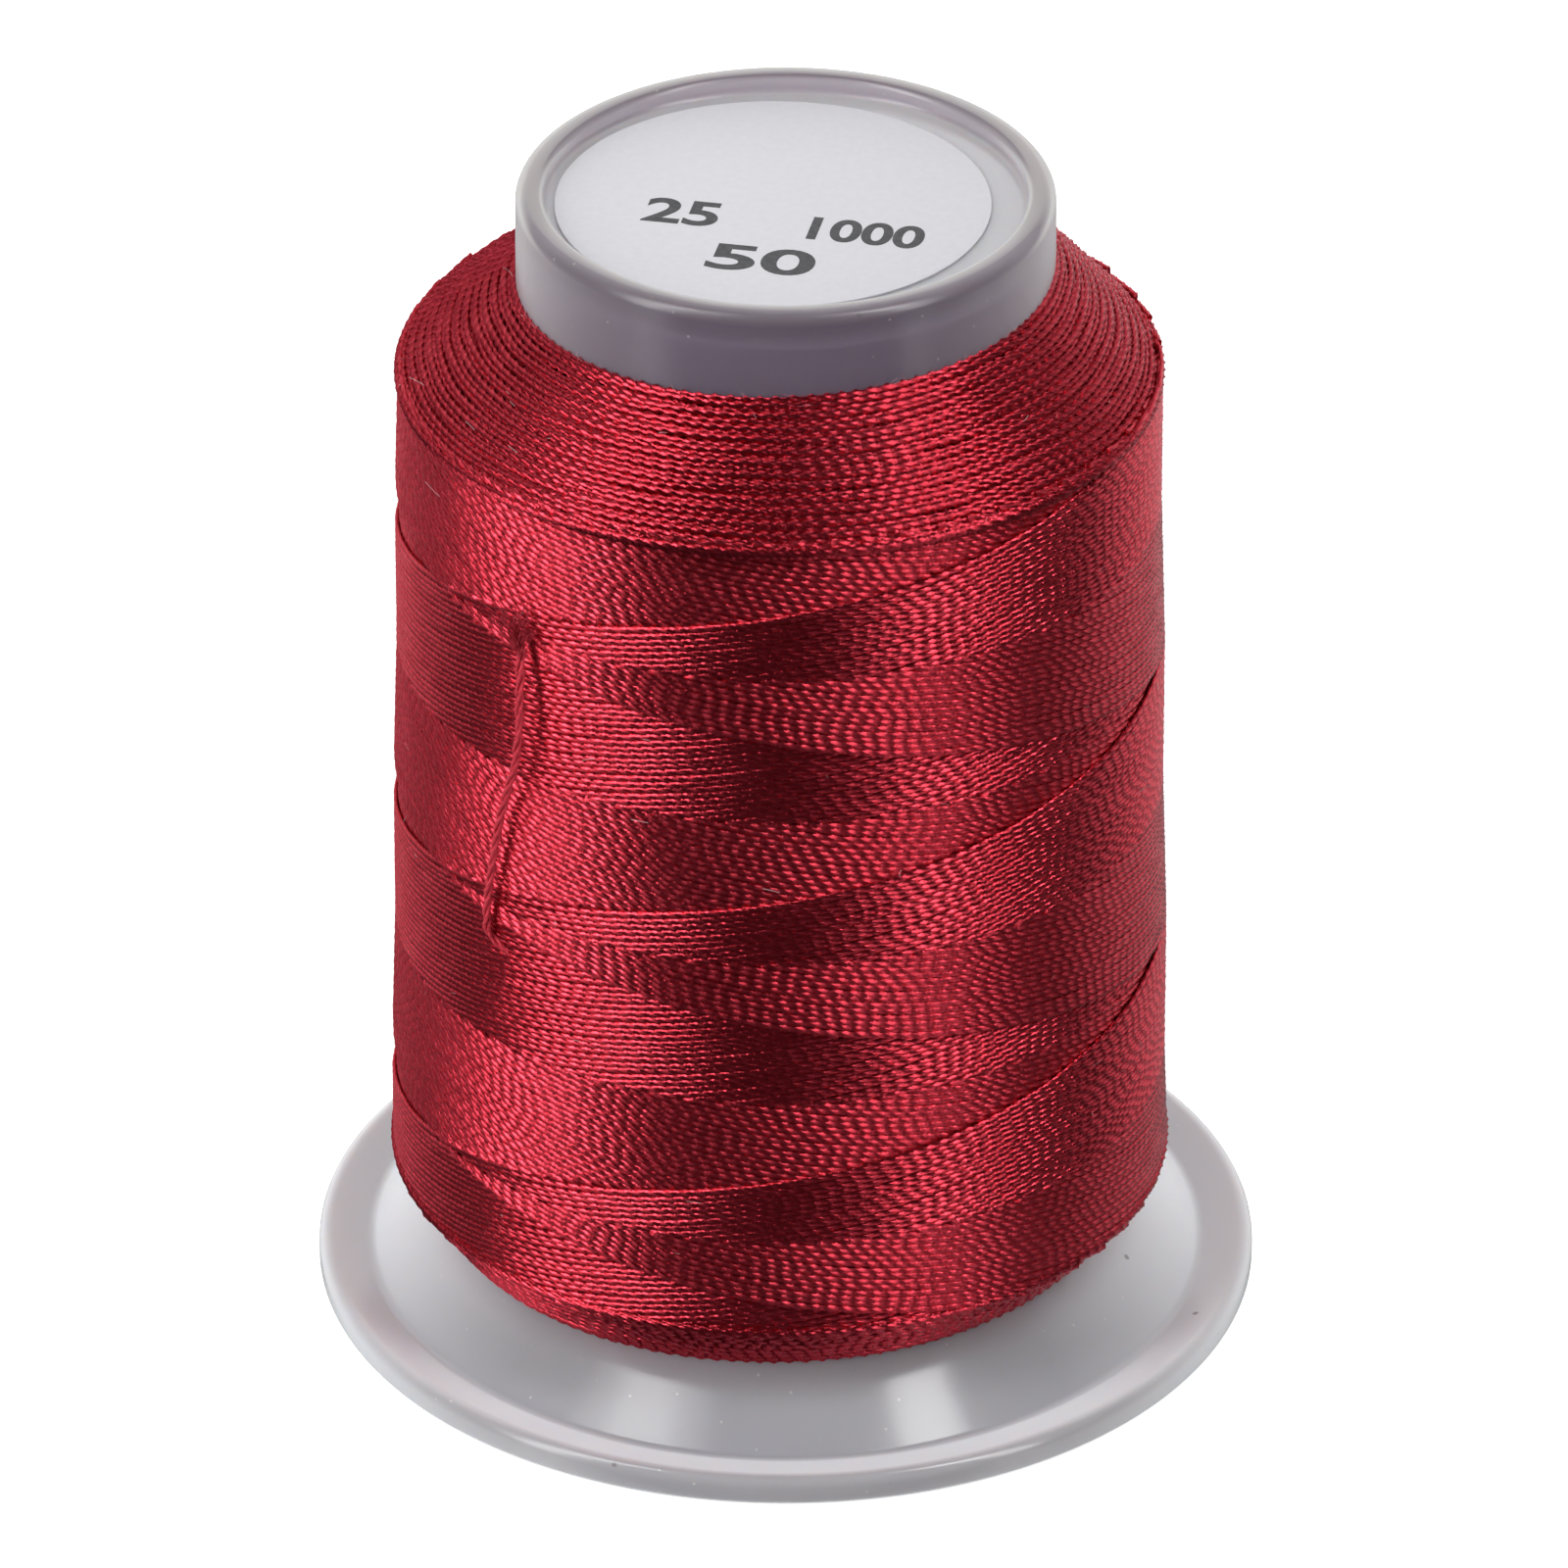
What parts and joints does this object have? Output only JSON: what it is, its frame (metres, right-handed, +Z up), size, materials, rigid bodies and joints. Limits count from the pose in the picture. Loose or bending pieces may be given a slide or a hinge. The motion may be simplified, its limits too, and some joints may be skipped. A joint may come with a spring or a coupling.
{
  "type": "spool of thread",
  "caption": "Flanged plastic spool wound with crimson sewing thread, with a pin bore, a round paper label and a tucked thread end.",
  "frame": {"origin": "on the spool's axis, in the plane of the flat foot that it stands on", "axes": "+Z up along the spool's axis from the foot to the label, -Y towards the side where the label's print reads upright"},
  "size_m": [0.0494, 0.0494, 0.0635],
  "materials": {
    "spool_plastic": "translucent milky polypropylene, satin gloss",
    "thread": "three-ply trilobal polyester thread, silky sheen",
    "label_paper": "matt coated paper with small black numerals"
  },
  "bodies": {
    "root": {"base_flange": "spool_plastic", "spool_barrel": "spool_plastic", "pin_sleeve": "spool_plastic", "thread_core": "thread", "outer_winding": "thread", "thread_tail": "thread", "paper_label": "label_paper"}
  },
  "joints": []
}
